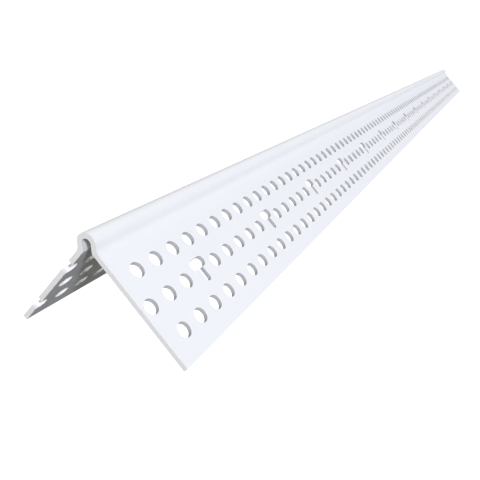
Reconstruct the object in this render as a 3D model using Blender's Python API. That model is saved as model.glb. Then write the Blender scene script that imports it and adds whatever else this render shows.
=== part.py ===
"""Drywall corner bead: one extrusion of rigid PVC, punched with three rows of holes in each flange.

Metres. X runs across the bead, Y along it and Z up. The bead lies on the free edges of its two flanges with
its nose on top. The section is drawn from the line where the outer faces of the flanges would meet, which is
straight above the origin.
"""

import math

import bmesh
import bpy
from mathutils import Vector

MM = 0.001

# Overall
LENGTH = 609.6 * MM
FLANGE_WIDTH = 31.75 * MM
WALL = 1.2 * MM
INCLUDED_ANGLE = math.radians(88.5)

# Nose
NOSE_OUTER_RADIUS = 2.4 * MM
NOSE_CENTRE_DROP = 0.93 * MM
NOSE_WALL = 1.25 * MM
FOOT_OUTER_RADIUS = 2.5 * MM
FOOT_INNER_RADIUS = 0.5 * MM
NOSE_STEPS = 16
FOOT_STEPS = 4

# Holes: rows are numbered from the nose
PITCH = 6.35 * MM
HOLE_RADIUS = 1.83 * MM
RIGHT_ROW_DISTANCES = (10.32 * MM, 18.02 * MM, 25.72 * MM)
LEFT_ROW_DISTANCES = (9.42 * MM, 17.12 * MM, 24.82 * MM)
RIGHT_ROW_STARTS = (5.7 * MM, 2.52 * MM, 5.7 * MM)
LEFT_ROW_STARTS = (0.45 * MM, 3.63 * MM, 0.45 * MM)
HOLE_SIDES = 4
END_SLIVER = 0.5 * MM

# Keyholes: every sixth hole of the middle row. The head is long along the bead, and its slot points down
KEYHOLE_ROW = 1
KEYHOLE_FIRST = 3
KEYHOLE_EVERY = 6
KEYHOLE_LEAD = 0.2 * MM
KEYHOLE_HEIGHT = 6.2 * MM
HEAD_LENGTH = 5.5 * MM
HEAD_HEIGHT = 2.6 * MM
SLOT_WIDTH = 1.8 * MM

PUNCH_MARGIN = 1.0 * MM

HALF_ANGLE = INCLUDED_ANGLE / 2
DOWN_FLANGE = (math.sin(HALF_ANGLE), -math.cos(HALF_ANGLE))
OUT_OF_FLANGE = (math.cos(HALF_ANGLE), math.sin(HALF_ANGLE))
APEX_HEIGHT = FLANGE_WIDTH * math.cos(HALF_ANGLE) + WALL * math.sin(HALF_ANGLE)


def face_z(x, depth):
    """Height over the apex line of the flange's face this deep under its outer face."""
    return (-depth - OUT_OF_FLANGE[0] * x) / OUT_OF_FLANGE[1]


def arc(centre, radius, start, end, steps):
    angles = [start + (end - start) * k / steps for k in range(steps + 1)]
    return [(centre[0] + radius * math.cos(a), centre[1] + radius * math.sin(a)) for a in angles]


def half_section():
    """The right half, from the top of the nose down its outer face and back up its inner one."""
    nose = (0.0, -NOSE_CENTRE_DROP)
    inner = NOSE_OUTER_RADIUS - NOSE_WALL
    tilt = math.atan2(OUT_OF_FLANGE[1], OUT_OF_FLANGE[0])
    outside = arc(nose, NOSE_OUTER_RADIUS, math.pi / 2, 0, NOSE_STEPS // 2)
    foot_x = NOSE_OUTER_RADIUS + FOOT_OUTER_RADIUS
    foot = (foot_x, face_z(foot_x, -FOOT_OUTER_RADIUS))
    outside += arc(foot, FOOT_OUTER_RADIUS, math.pi, math.pi + tilt, FOOT_STEPS)
    edge = (DOWN_FLANGE[0] * FLANGE_WIDTH, DOWN_FLANGE[1] * FLANGE_WIDTH)
    outside.append(edge)
    inside = [(edge[0] - OUT_OF_FLANGE[0] * WALL, edge[1] - OUT_OF_FLANGE[1] * WALL)]
    lip_x = inner + FOOT_INNER_RADIUS
    lip = (lip_x, face_z(lip_x, WALL - FOOT_INNER_RADIUS))
    inside += arc(lip, FOOT_INNER_RADIUS, math.pi + tilt, math.pi, FOOT_STEPS // 2)
    inside += arc(nose, inner, 0, math.pi / 2, NOSE_STEPS // 4)
    return outside, inside


def section():
    outside, inside = half_section()
    left_outside = [(-x, z) for x, z in reversed(outside[1:])]
    left_inside = [(-x, z) for x, z in reversed(inside[:-1])]
    return left_outside + outside + inside + left_inside


def mesh_object(name, points, faces):
    mesh = bpy.data.meshes.new(name)
    mesh.from_pydata(points, [], faces)
    mesh.update()
    work = bmesh.new()
    work.from_mesh(mesh)
    bmesh.ops.recalc_face_normals(work, faces=work.faces)
    work.to_mesh(mesh)
    work.free()
    made = bpy.data.objects.new(name, mesh)
    bpy.context.scene.collection.objects.link(made)
    return made


def extrusion():
    outline = section()
    count = len(outline)
    points = [(x, y, z + APEX_HEIGHT) for y in (-LENGTH / 2, LENGTH / 2) for x, z in outline]
    faces = [(k, (k + 1) % count, count + (k + 1) % count, count + k) for k in range(count)]
    faces += [tuple(reversed(range(count))), tuple(range(count, 2 * count))]
    bead = mesh_object("corner_bead", points, faces)
    for k, face in enumerate(bead.data.polygons):
        face.use_smooth = k < count
    bead.data.set_sharp_from_angle(angle=math.radians(30))
    return bead


def round_outline(radius, sides):
    """A polygon with the area of the circle, with two sides square to the length."""
    reach = radius * math.sqrt(2 * math.pi / (sides * math.sin(2 * math.pi / sides)))
    turns = [2 * math.pi * (k + 0.5) / sides for k in range(sides)]
    return [(reach * math.cos(a), reach * math.sin(a)) for a in turns]


def keyhole_outline():
    """Along the length and down the flange, from the middle of the row: a head with two pointed ends that
    have the area of its round ones, and a slot below it."""
    half, top = SLOT_WIDTH / 2, -KEYHOLE_HEIGHT / 2
    run, neck, point = (HEAD_LENGTH - HEAD_HEIGHT) / 2, top + HEAD_HEIGHT, math.pi * HEAD_HEIGHT / 4
    head_end = [(run, top), (run + point, (top + neck) / 2), (run, neck), (half, neck), (half, -top)]
    return [(-u, v) for u, v in reversed(head_end)] + head_end


def row_places(start):
    """Every place of one row along the length, without one that would only nick an end or leave a thread of
    wall there."""
    places = []
    index = 0
    while start + index * PITCH - HOLE_RADIUS < LENGTH - END_SLIVER:
        along = start + index * PITCH
        thread = min(along - HOLE_RADIUS, LENGTH - along - HOLE_RADIUS)
        if not 0 <= thread < END_SLIVER / 2:
            places.append((index, along))
        index += 1
    return places


def punches(name, side, starts, distances):
    """All the punches of one flange as one mesh, each square to the flange and longer than the wall."""
    down = Vector((side * DOWN_FLANGE[0], 0, DOWN_FLANGE[1]))
    out = Vector((side * OUT_OF_FLANGE[0], 0, OUT_OF_FLANGE[1]))
    along_axis = Vector((0, 1, 0))
    hole = round_outline(HOLE_RADIUS, HOLE_SIDES)
    keyhole = keyhole_outline()
    points, faces = [], []
    for row, (start, distance) in enumerate(zip(starts, distances)):
        for index, along in row_places(start):
            special = row == KEYHOLE_ROW and index % KEYHOLE_EVERY == KEYHOLE_FIRST
            outline = keyhole if special else hole
            place = along + (KEYHOLE_LEAD if special else 0)
            centre = down * distance + along_axis * (place - LENGTH / 2) + Vector((0, 0, APEX_HEIGHT))
            first, count = len(points), len(outline)
            for depth in (-WALL - PUNCH_MARGIN, PUNCH_MARGIN):
                points += [tuple(centre + along_axis * u + down * v + out * depth) for u, v in outline]
            faces += [
                (first + k, first + (k + 1) % count, first + count + (k + 1) % count, first + count + k)
                for k in range(count)
            ]
            faces += [
                tuple(first + k for k in reversed(range(count))),
                tuple(first + count + k for k in range(count)),
            ]
    made = mesh_object(name, points, faces)
    made.hide_render = True
    made.display_type = "WIRE"
    return made


def cut(body, tool):
    modifier = body.modifiers.new("cut_" + tool.name, "BOOLEAN")
    modifier.operation = "DIFFERENCE"
    modifier.solver = "EXACT"
    modifier.object = tool


def material():
    pvc = bpy.data.materials.new("white_pvc")
    pvc.use_nodes = True
    shader = pvc.node_tree.nodes["Principled BSDF"]
    shader.inputs["Base Color"].default_value = (0.88, 0.89, 0.91, 1)
    shader.inputs["Roughness"].default_value = 0.45
    return pvc


for old in list(bpy.data.objects):
    bpy.data.objects.remove(old)

bead = extrusion()
bead.data.materials.append(material())
cut(bead, punches("right_punches", 1, RIGHT_ROW_STARTS, RIGHT_ROW_DISTANCES))
cut(bead, punches("left_punches", -1, LEFT_ROW_STARTS, LEFT_ROW_DISTANCES))
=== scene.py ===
"""Looks of the drywall corner bead: its finely punched PVC extrusion, the light and the photograph's camera.

Metres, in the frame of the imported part: X across the bead, Y along it, Z up, with the bead lying on the free
edges of its flanges. The section is drawn from the line where the outer faces of the flanges would meet. A
place on a flange is given as its distance along the bead from the near end, its distance down the flange from
that line, and its depth under the outer face.
"""

import math

import bmesh
import bpy
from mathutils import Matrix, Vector, geometry


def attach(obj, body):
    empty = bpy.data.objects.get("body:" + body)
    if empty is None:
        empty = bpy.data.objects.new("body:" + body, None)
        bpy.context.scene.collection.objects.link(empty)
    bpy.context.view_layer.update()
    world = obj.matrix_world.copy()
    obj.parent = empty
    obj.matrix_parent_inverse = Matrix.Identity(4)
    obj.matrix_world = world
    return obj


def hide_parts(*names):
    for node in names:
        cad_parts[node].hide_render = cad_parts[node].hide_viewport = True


MM = 0.001

# Overall
LENGTH = 609.6 * MM
FLANGE_WIDTH = 31.75 * MM
WALL = 1.2 * MM
INCLUDED_ANGLE = math.radians(88.5)
EDGE_BEVEL = 0.04 * MM

# Nose
NOSE_OUTER_RADIUS = 2.4 * MM
NOSE_CENTRE_DROP = 0.93 * MM
NOSE_WALL = 1.25 * MM
FOOT_OUTER_RADIUS = 2.5 * MM
FOOT_INNER_RADIUS = 0.5 * MM
NOSE_STEPS = 24
FOOT_STEPS = 8

# Holes: rows are numbered from the nose. A row's start is how far its first hole is from the near end
PITCH = 6.35 * MM
HOLE_RADIUS = 1.78 * MM
RIGHT_ROW_DISTANCES = (10.25 * MM, 17.94 * MM, 25.64 * MM)
LEFT_ROW_DISTANCES = (9.42 * MM, 17.12 * MM, 24.82 * MM)
RIGHT_ROW_STARTS = (5.88 * MM, 2.7 * MM, 5.88 * MM)
LEFT_ROW_STARTS = (0.45 * MM, 3.63 * MM, 0.45 * MM)
HOLE_STEPS = 24
END_SLIVER = 0.5 * MM

# Keyholes: every sixth hole of the middle row. The head is long along the bead, and its slot points down
KEYHOLE_ROW = 1
KEYHOLE_FIRST = 3
KEYHOLE_EVERY = 6
KEYHOLE_HEIGHT = 6.2 * MM
HEAD_LENGTH = 5.5 * MM
HEAD_HEIGHT = 2.6 * MM
HEAD_END_STEPS = 12
SLOT_WIDTH = 1.8 * MM
SLOT_END_STEPS = 8

# A keyhole's middle lies this much further along and further down than a round hole's in its place
KEYHOLE_LEAD = 0.2 * MM
KEYHOLE_DROP = 0.08 * MM

# Mesh: the flanges' faces are triangulated in millimetres, and so is the tolerance
SAME_POINT = 0.0001 * MM
SHARP_ANGLE = math.radians(25)
TRIANGLES_INSIDE_OUTLINE = 1
TRIANGLE_TOLERANCE = 1e-5

# Finish: the draw lines are long along the bead, the grain is even, and the tint varies in soft clouds
IOR = 1.53
TINT_DARK = (0.876, 0.887, 0.897, 1)
TINT_LIGHT = (0.896, 0.907, 0.914, 1)
TINT_SCALE = 60
TINT_DETAIL = 2
LINE_SCALE = 1400
LINE_DETAIL = 3
LINE_STRETCH = (1, 0.004, 1)
LINE_BUMP = 0.1
LINE_DEPTH = 0.02 * MM
GRAIN_SCALE = 2600
GRAIN_DETAIL = 2
GRAIN_BUMP = 0.08
GRAIN_DEPTH = 0.01 * MM
ROUGHNESS = (0.52, 0.62)

# Camera: placed from the near end of the line where the outer faces would meet
CAMERA_FROM_NOSE = Vector((66.7, -65.75, 35.93)) * MM
CAMERA_HEADING = math.radians(26.88)
CAMERA_TILT = math.radians(22.07)
LENS = 37.25
SENSOR_WIDTH = 36
CLIP_START = 0.01
CLIP_END = 200

# Light: each strength is what a surface square to that light receives at the bead's near end
KEY_FROM = Vector((1.0, -0.58, 0.72))
KEY_STRENGTH = 2.24
KEY_COLOUR = (0.97, 0.98, 1.115)
KEY_DISTANCE = 12.0
KEY_WIDTH = 1.6
SIDE_FROM = Vector((1.0, 0.0, 0.05))
SIDE_STRENGTH = 0.32
SIDE_COLOUR = (1.04, 1.0, 0.9)
SIDE_SOFTNESS = math.radians(12)
FRONT_FROM = Vector((-0.31, -0.87, 0.37))
FRONT_STRENGTH = 1.27
FRONT_COLOUR = (1.03, 1.0, 0.92)
FRONT_SOFTNESS = math.radians(6)
FILL_FROM = Vector((0.3, -1.0, 0.3))
FILL_STRENGTH = 0.2
FILL_COLOUR = (1.0, 1.0, 1.0)
FILL_SOFTNESS = math.radians(12)

# Sky: bright toward this direction, behind and above, and dark on the other side of a soft edge
SKY_TOWARD = Vector((0.08, 0.75, 0.6))
SKY_BRIGHT = (0.36, 0.365, 0.35, 1)
SKY_DARK = (0.065, 0.064, 0.06, 1)
SKY_EDGE = (-0.2, 0.2)

# Studio
DOME_RADIUS = 30.0
DOME_SEGMENTS = 48
DOME_RINGS = 24
GLOW = 1.2

# Sockets of a Mix node that mixes colours, where names repeat
MIX_FACTOR = 0
MIX_FIRST = 6
MIX_SECOND = 7
MIX_RESULT = 2

HALF_ANGLE = INCLUDED_ANGLE / 2
DOWN_FLANGE = (math.sin(HALF_ANGLE), -math.cos(HALF_ANGLE))
OUT_OF_FLANGE = (math.cos(HALF_ANGLE), math.sin(HALF_ANGLE))
APEX_HEIGHT = FLANGE_WIDTH * math.cos(HALF_ANGLE) + WALL * math.sin(HALF_ANGLE)
NEAR_NOSE = Vector((0, -LENGTH / 2, APEX_HEIGHT))
NEAR_END = 0.0
FAR_END = LENGTH

# The free edge, as distances down and depths, from the outer face to the inner one, both corners broken
FREE_EDGE = (
    (FLANGE_WIDTH - EDGE_BEVEL, 0.0),
    (FLANGE_WIDTH, EDGE_BEVEL),
    (FLANGE_WIDTH, WALL - EDGE_BEVEL),
    (FLANGE_WIDTH - EDGE_BEVEL, WALL),
)

# A hole's wall, as how much wider it is at which depth, from the outer face to the inner one
HOLE_WALL = ((EDGE_BEVEL, 0.0), (0.0, EDGE_BEVEL), (0.0, WALL - EDGE_BEVEL), (EDGE_BEVEL, WALL))


def face_z(x, depth):
    """Height over the apex line of the flange's face this deep under its outer face."""
    return (-depth - OUT_OF_FLANGE[0] * x) / OUT_OF_FLANGE[1]


def in_section(down, depth):
    """The section's point at this place on the right flange."""
    return (
        DOWN_FLANGE[0] * down - OUT_OF_FLANGE[0] * depth,
        DOWN_FLANGE[1] * down - OUT_OF_FLANGE[1] * depth,
    )


def down_the_flange(x, z):
    """Distance of a section point from the apex line, measured along the flange."""
    return DOWN_FLANGE[0] * x + DOWN_FLANGE[1] * z


def arc(centre, radius, start, end, steps):
    angles = [start + (end - start) * k / steps for k in range(steps + 1)]
    return [(centre[0] + radius * math.cos(a), centre[1] + radius * math.sin(a)) for a in angles]


def nose_outside():
    """From the top of the nose down its right side to the flange's outer face."""
    foot_x = NOSE_OUTER_RADIUS + FOOT_OUTER_RADIUS
    foot = (foot_x, face_z(foot_x, -FOOT_OUTER_RADIUS))
    crown = arc((0, -NOSE_CENTRE_DROP), NOSE_OUTER_RADIUS, math.pi / 2, 0, NOSE_STEPS // 2)
    return crown + arc(foot, FOOT_OUTER_RADIUS, math.pi, math.pi + HALF_ANGLE, FOOT_STEPS)


def nose_inside():
    """From the top of the cavity down its right side to the flange's inner face."""
    inner = NOSE_OUTER_RADIUS - NOSE_WALL
    lip_x = inner + FOOT_INNER_RADIUS
    lip = (lip_x, face_z(lip_x, WALL - FOOT_INNER_RADIUS))
    roof = arc((0, -NOSE_CENTRE_DROP), inner, math.pi / 2, 0, NOSE_STEPS // 2)
    return roof + arc(lip, FOOT_INNER_RADIUS, math.pi, math.pi + HALF_ANGLE, FOOT_STEPS // 2)


class Hole:
    """One punched hole, by its place on its flange. Its end is the end of the bead that cuts it, or None."""

    def __init__(self, along, down, keyhole):
        self.along, self.down, self.keyhole = along, down, keyhole
        self.end = None
        if not keyhole and along < HOLE_RADIUS:
            self.end = NEAR_END
        elif not keyhole and LENGTH - along < HOLE_RADIUS:
            self.end = FAR_END

    def ring(self, grow):
        """The hole's edge, this much wider. A hole that an end of the bead cuts gives its arc alone."""
        if self.keyhole:
            return self.keyhole_ring(grow)
        if self.end is None:
            turns = [2 * math.pi * k / HOLE_STEPS for k in range(HOLE_STEPS)]
            return self.round_points(HOLE_RADIUS + grow, 1, turns)
        return self.cut_ring(HOLE_RADIUS + grow)

    def round_points(self, radius, way, turns):
        """Points at these turns, counted from the far end's side, or from the near end's where way is -1."""
        return [(self.along + way * radius * math.cos(a), self.down + radius * math.sin(a)) for a in turns]

    def cut_ring(self, radius):
        """The arc that is left inside the bead, with its first and last point in the end face."""
        way = 1 if self.end == NEAR_END else -1
        reach = math.acos(way * (self.end - self.along) / radius)
        turns = [reach * (2 * k / HOLE_STEPS - 1) for k in range(HOLE_STEPS + 1)]
        points = self.round_points(radius, way, turns)
        points[0] = (self.end, points[0][1])
        points[-1] = (self.end, points[-1][1])
        return points

    def keyhole_ring(self, grow):
        head = self.down - (KEYHOLE_HEIGHT - HEAD_HEIGHT) / 2
        run, radius = (HEAD_LENGTH - HEAD_HEIGHT) / 2, HEAD_HEIGHT / 2 + grow
        half = SLOT_WIDTH / 2 + grow
        end = self.down + (KEYHOLE_HEIGHT - SLOT_WIDTH) / 2
        quarter = math.pi / 2
        points = [(self.along + half, head + radius)]
        points += arc((self.along + run, head), radius, quarter, -quarter, HEAD_END_STEPS)
        points += arc((self.along - run, head), radius, -quarter, -3 * quarter, HEAD_END_STEPS)
        points.append((self.along - half, head + radius))
        return points + arc((self.along, end), half, 2 * quarter, 0, SLOT_END_STEPS)

    def takes(self, along, down):
        """Whether this place on the flange is punched out, counting the hole's broken edge."""
        aside = abs(along - self.along)
        if not self.keyhole:
            return math.hypot(aside, down - self.down) < HOLE_RADIUS + EDGE_BEVEL
        head = self.down - (KEYHOLE_HEIGHT - HEAD_HEIGHT) / 2
        past = max(0.0, aside - (HEAD_LENGTH - HEAD_HEIGHT) / 2)
        if math.hypot(past, down - head) < HEAD_HEIGHT / 2 + EDGE_BEVEL:
            return True
        return aside < SLOT_WIDTH / 2 + EDGE_BEVEL and down > head


def holes_of(starts, distances):
    """All holes of one flange, row by row from the nose, without one that would only nick an end or leave a
    thread of wall there."""
    found = []
    for row, (start, down) in enumerate(zip(starts, distances)):
        index = 0
        while start + index * PITCH - HOLE_RADIUS < LENGTH - END_SLIVER:
            along = start + index * PITCH
            thread = min(along - HOLE_RADIUS, LENGTH - along - HOLE_RADIUS)
            if not 0 <= thread < END_SLIVER / 2:
                if row == KEYHOLE_ROW and index % KEYHOLE_EVERY == KEYHOLE_FIRST:
                    found.append(Hole(along + KEYHOLE_LEAD, down + KEYHOLE_DROP, True))
                else:
                    found.append(Hole(along, down, False))
            index += 1
    return found


class Shell:
    """Collects the bead's faces. Every point is given in the section, or by its place on a flange."""

    def __init__(self):
        self.points, self.faces, self.found = [], [], {}

    def point(self, x, along, z):
        key = tuple(round(value / SAME_POINT) for value in (x, along, z))
        if key not in self.found:
            self.found[key] = len(self.points)
            self.points.append((x, along - LENGTH / 2, z + APEX_HEIGHT))
        return self.found[key]

    def on_flange(self, side, along, down, depth):
        x, z = in_section(down, depth)
        return self.point(side * x, along, z)

    def face(self, corners):
        distinct = [c for k, c in enumerate(corners) if c != corners[k - 1]]
        if len(distinct) > 2:
            self.faces.append(distinct)

    def strip(self, side, outline):
        """A wall along the whole bead over an open line of section points."""
        for (x1, z1), (x2, z2) in zip(outline, outline[1:]):
            self.face(
                [
                    self.point(side * x1, NEAR_END, z1),
                    self.point(side * x2, NEAR_END, z2),
                    self.point(side * x2, FAR_END, z2),
                    self.point(side * x1, FAR_END, z1),
                ]
            )

    def panel(self, side, holes, depth, top, bottom):
        """A flange's flat face with the mouths of its holes left open."""
        outline = [(NEAR_END, top), (FAR_END, top)]
        for hole in holes:
            if hole.end == FAR_END:
                outline += hole.ring(EDGE_BEVEL)
        outline += [(FAR_END, bottom), (NEAR_END, bottom)]
        for hole in reversed(holes):
            if hole.end == NEAR_END:
                outline += reversed(hole.ring(EDGE_BEVEL))
        loops = [(None, outline)]
        loops += [(hole, hole.ring(EDGE_BEVEL)) for hole in holes if hole.end is None]

        flat, edges, owner, index = [], [], [], []
        for hole, loop in loops:
            first, count = len(flat), len(loop)
            flat += [Vector(place) / MM for place in loop]
            index += [self.on_flange(side, *place, depth) for place in loop]
            edges += [(first + k, first + (k + 1) % count) for k in range(count)]
            owner += [hole] * count
        places, _, triangles, sources, _, _ = geometry.delaunay_2d_cdt(
            flat, edges, [], TRIANGLES_INSIDE_OUTLINE, TRIANGLE_TOLERANCE
        )
        for triangle in triangles:
            corners = [sources[k][0] for k in triangle]
            middle = sum((places[k] for k in triangle), Vector((0, 0))) * MM / 3
            hole = owner[corners[0]]
            # A triangle within one hole's edge is its mouth, unless it lies beside a keyhole's slot
            inside = hole and all(owner[k] is hole for k in corners) and hole.takes(*middle)
            if not inside:
                self.face([index[k] for k in corners])

    def hole_wall(self, side, hole):
        rings = [
            [self.on_flange(side, along, down, depth) for along, down in hole.ring(grow)]
            for grow, depth in HOLE_WALL
        ]
        count = len(rings[0])
        steps = count if hole.end is None else count - 1
        for upper, lower in zip(rings, rings[1:]):
            for k in range(steps):
                after = (k + 1) % count
                self.face([upper[k], upper[after], lower[after], lower[k]])

    def end_face(self, end, flanges, outside, inside):
        """An end face: the nose with both flanges down to their first notch, and each piece below a notch."""
        halves = []
        for side, holes in flanges.items():
            half_out = [self.point(side * x, end, z) for x, z in outside]
            half_in = [self.point(side * x, end, z) for x, z in reversed(inside)]
            notches = [self.notch(side, hole) for hole in holes if hole.end == end]
            tip = [self.on_flange(side, end, down, depth) for down, depth in FREE_EDGE]
            if notches:
                halves.append(half_out + notches[0][0] + half_in)
                for above, below in zip(notches, notches[1:]):
                    self.face(above[1] + below[0])
                self.face(notches[-1][1] + tip)
            else:
                halves.append(half_out + tip + half_in)
        right, left = halves
        self.face(right + left[::-1])

    def notch(self, side, hole):
        """The edges of one end notch: outside to inside above it, and inside to outside below it."""
        rings = [(hole.ring(grow), depth) for grow, depth in HOLE_WALL]
        above = [self.on_flange(side, hole.end, ring[0][1], depth) for ring, depth in rings]
        below = [self.on_flange(side, hole.end, ring[-1][1], depth) for ring, depth in rings]
        return above, below[::-1]


def bead_shell():
    shell = Shell()
    outside, inside = nose_outside(), nose_inside()
    free_edge = [in_section(down, depth) for down, depth in FREE_EDGE]
    bottom = FLANGE_WIDTH - EDGE_BEVEL
    flanges = {
        1: holes_of(RIGHT_ROW_STARTS, RIGHT_ROW_DISTANCES),
        -1: holes_of(LEFT_ROW_STARTS, LEFT_ROW_DISTANCES),
    }
    for side, holes in flanges.items():
        shell.strip(side, outside)
        shell.strip(side, inside)
        shell.strip(side, free_edge)
        shell.panel(side, holes, 0.0, down_the_flange(*outside[-1]), bottom)
        shell.panel(side, holes, WALL, down_the_flange(*inside[-1]), bottom)
        for hole in holes:
            shell.hole_wall(side, hole)
    for end in (NEAR_END, FAR_END):
        shell.end_face(end, flanges, outside, inside)
    return shell


def build_bead():
    shell = bead_shell()
    mesh = bpy.data.meshes.new("punched_bead")
    mesh.from_pydata(shell.points, [], shell.faces)
    mesh.update()
    work = bmesh.new()
    work.from_mesh(mesh)
    bmesh.ops.recalc_face_normals(work, faces=work.faces)
    work.to_mesh(mesh)
    work.free()
    mesh.shade_smooth()
    mesh.set_sharp_from_angle(angle=SHARP_ANGLE)
    made = bpy.data.objects.new("punched_bead", mesh)
    bpy.context.scene.collection.objects.link(made)
    return made


def noise(tree, coordinates, scale, detail):
    """The output of a noise texture over these coordinates."""
    texture = tree.nodes.new("ShaderNodeTexNoise")
    texture.inputs["Scale"].default_value = scale
    texture.inputs["Detail"].default_value = detail
    tree.links.new(coordinates, texture.inputs["Vector"])
    return texture.outputs["Fac"]


def colour_between(tree, factor, first, second):
    """The output of a mix of two colours by this factor."""
    mix = tree.nodes.new("ShaderNodeMix")
    mix.data_type = "RGBA"
    mix.inputs[MIX_FIRST].default_value = first
    mix.inputs[MIX_SECOND].default_value = second
    tree.links.new(factor, mix.inputs[MIX_FACTOR])
    return mix.outputs[MIX_RESULT]


def bump(tree, height, strength, distance):
    made = tree.nodes.new("ShaderNodeBump")
    made.inputs["Strength"].default_value = strength
    made.inputs["Distance"].default_value = distance
    tree.links.new(height, made.inputs["Height"])
    return made


def pvc():
    """White rigid PVC: satin, with the faint draw lines of the extrusion along its length."""
    made = bpy.data.materials.new("white_pvc_finish")
    made.use_nodes = True
    tree = made.node_tree
    shader = tree.nodes["Principled BSDF"]
    shader.inputs["IOR"].default_value = IOR
    place = tree.nodes.new("ShaderNodeTexCoord").outputs["Object"]

    stretch = tree.nodes.new("ShaderNodeMapping")
    stretch.inputs["Scale"].default_value = LINE_STRETCH
    tree.links.new(place, stretch.inputs["Vector"])
    lines = noise(tree, stretch.outputs["Vector"], LINE_SCALE, LINE_DETAIL)
    grain = noise(tree, place, GRAIN_SCALE, GRAIN_DETAIL)
    cloud = noise(tree, place, TINT_SCALE, TINT_DETAIL)

    tree.links.new(colour_between(tree, cloud, TINT_DARK, TINT_LIGHT), shader.inputs["Base Color"])

    rough = tree.nodes.new("ShaderNodeMapRange")
    rough.inputs["To Min"].default_value, rough.inputs["To Max"].default_value = ROUGHNESS
    tree.links.new(lines, rough.inputs["Value"])
    tree.links.new(rough.outputs["Result"], shader.inputs["Roughness"])

    drawn = bump(tree, lines, LINE_BUMP, LINE_DEPTH)
    fine = bump(tree, grain, GRAIN_BUMP, GRAIN_DEPTH)
    tree.links.new(drawn.outputs["Normal"], fine.inputs["Normal"])
    tree.links.new(fine.outputs["Normal"], shader.inputs["Normal"])
    return made


def set_camera():
    data = bpy.data.cameras.new("camera")
    data.lens = LENS
    data.sensor_width = SENSOR_WIDTH
    data.clip_start, data.clip_end = CLIP_START, CLIP_END
    camera = bpy.data.objects.new("camera", data)
    camera.location = NEAR_NOSE + CAMERA_FROM_NOSE
    camera.rotation_euler = (math.pi / 2 - CAMERA_TILT, 0, CAMERA_HEADING)
    bpy.context.scene.collection.objects.link(camera)
    bpy.context.scene.camera = camera


def light(name, kind, origin, colour):
    """A light that shines from this direction."""
    data = bpy.data.lights.new(name, kind)
    data.color = colour
    made = bpy.data.objects.new(name, data)
    made.rotation_mode = "QUATERNION"
    made.rotation_quaternion = origin.to_track_quat("Z", "Y")
    bpy.context.scene.collection.objects.link(made)
    return made


def softbox(name, origin, strength, colour, distance, width):
    """A square light that faces the bead's near end from this far away."""
    made = light(name, "AREA", origin, colour)
    made.data.energy = strength * math.pi * distance**2
    made.data.size = width
    made.location = NEAR_NOSE + origin.normalized() * distance


def sun(name, origin, strength, colour, softness):
    made = light(name, "SUN", origin, colour)
    made.data.energy = strength
    made.data.angle = softness


def set_light():
    """A wide soft key from the front right, a faint warm light along the floor from the right, a light from
    the left front for the end faces, and a weak fill for the walls of the right flange's holes."""
    softbox("key", KEY_FROM, KEY_STRENGTH, KEY_COLOUR, KEY_DISTANCE, KEY_WIDTH)
    sun("side", SIDE_FROM, SIDE_STRENGTH, SIDE_COLOUR, SIDE_SOFTNESS)
    sun("front", FRONT_FROM, FRONT_STRENGTH, FRONT_COLOUR, FRONT_SOFTNESS)
    sun("fill", FILL_FROM, FILL_STRENGTH, FILL_COLOUR, FILL_SOFTNESS)


def set_sky():
    world = bpy.data.worlds.new("sky")
    world.use_nodes = True
    tree = world.node_tree
    place = tree.nodes.new("ShaderNodeTexCoord")
    toward = tree.nodes.new("ShaderNodeVectorMath")
    toward.operation = "DOT_PRODUCT"
    toward.inputs[1].default_value = SKY_TOWARD.normalized()
    tree.links.new(place.outputs["Generated"], toward.inputs[0])
    edge = tree.nodes.new("ShaderNodeMapRange")
    edge.interpolation_type = "SMOOTHSTEP"
    edge.inputs["From Min"].default_value, edge.inputs["From Max"].default_value = SKY_EDGE
    tree.links.new(toward.outputs["Value"], edge.inputs["Value"])
    colour = colour_between(tree, edge.outputs["Result"], SKY_DARK, SKY_BRIGHT)
    tree.links.new(colour, tree.nodes["Background"].inputs["Color"])
    bpy.context.scene.world = world


def glowing_white():
    """A white that looks the same everywhere, whatever light falls on it."""
    made = bpy.data.materials.new("studio_white")
    made.use_nodes = True
    shader = made.node_tree.nodes["Principled BSDF"]
    shader.inputs["Base Color"].default_value = (0, 0, 0, 1)
    shader.inputs["Specular IOR Level"].default_value = 0
    shader.inputs["Emission Color"].default_value = (1, 1, 1, 1)
    shader.inputs["Emission Strength"].default_value = GLOW
    made.cycles.emission_sampling = "NONE"
    return made


def set_studio():
    """A white floor under a white dome, like a light tent. It takes no shadow and lights nothing."""
    shape = bmesh.new()
    bmesh.ops.create_uvsphere(
        shape,
        u_segments=DOME_SEGMENTS,
        v_segments=DOME_RINGS,
        radius=DOME_RADIUS,
    )
    bmesh.ops.bisect_plane(
        shape,
        geom=shape.verts[:] + shape.edges[:] + shape.faces[:],
        plane_co=(0, 0, 0),
        plane_no=(0, 0, 1),
        clear_inner=True,
    )
    rim = [edge for edge in shape.edges if edge.is_boundary]
    bmesh.ops.contextual_create(shape, geom=rim)
    mesh = bpy.data.meshes.new("studio")
    shape.to_mesh(mesh)
    shape.free()
    mesh.materials.append(glowing_white())
    studio = bpy.data.objects.new("studio", mesh)
    studio.visible_diffuse = studio.visible_glossy = False
    studio.visible_transmission = studio.visible_shadow = False
    bpy.context.scene.collection.objects.link(studio)


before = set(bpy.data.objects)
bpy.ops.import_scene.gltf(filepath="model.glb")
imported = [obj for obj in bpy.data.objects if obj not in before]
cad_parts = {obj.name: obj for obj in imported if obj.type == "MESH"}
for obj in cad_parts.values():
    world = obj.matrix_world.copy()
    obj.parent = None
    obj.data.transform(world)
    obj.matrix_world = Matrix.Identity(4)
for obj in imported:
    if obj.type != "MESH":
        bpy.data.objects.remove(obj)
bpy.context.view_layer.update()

bead = build_bead()
bead.data.materials.append(pvc())
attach(bead, "root")
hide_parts("corner_bead")

set_studio()
set_light()
set_sky()
set_camera()
bpy.context.scene.view_settings.view_transform = "Standard"
